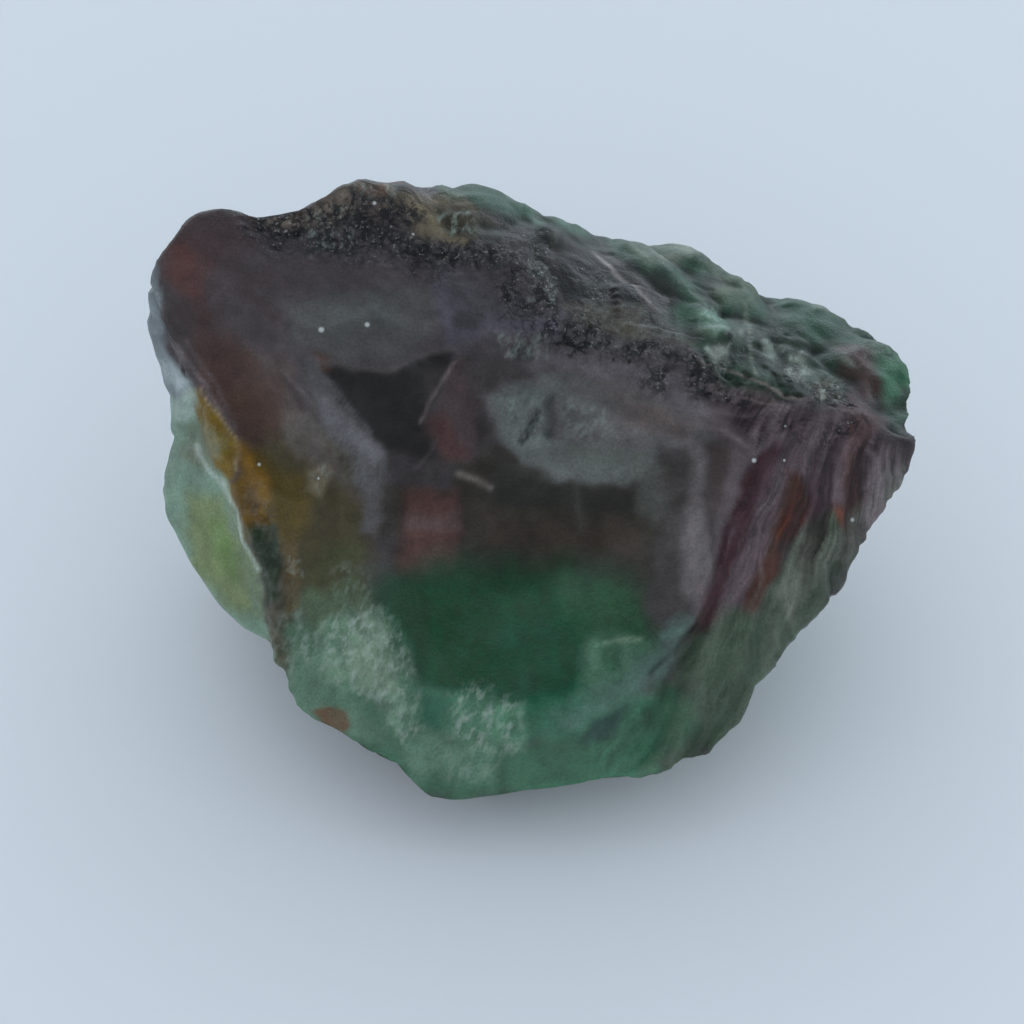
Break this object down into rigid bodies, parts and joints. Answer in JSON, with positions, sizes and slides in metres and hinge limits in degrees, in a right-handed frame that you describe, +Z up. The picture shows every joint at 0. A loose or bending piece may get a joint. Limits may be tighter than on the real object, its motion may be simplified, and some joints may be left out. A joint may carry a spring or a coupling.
{
  "type": "rough mineral specimen",
  "caption": "Rough green and purple-brown crystal lump, broken all round, with a flat underside to lie on.",
  "frame": {"origin": "on the ground, inside the flat underside", "axes": "+Z up; +X to the right when the big sloping face is seen from the front; the big face looks along -Y and up"},
  "size_m": [0.0298, 0.0221, 0.0161],
  "materials": {
    "crystal": "glossy"
  },
  "bodies": {
    "root": {"stone": "crystal"}
  },
  "joints": []
}
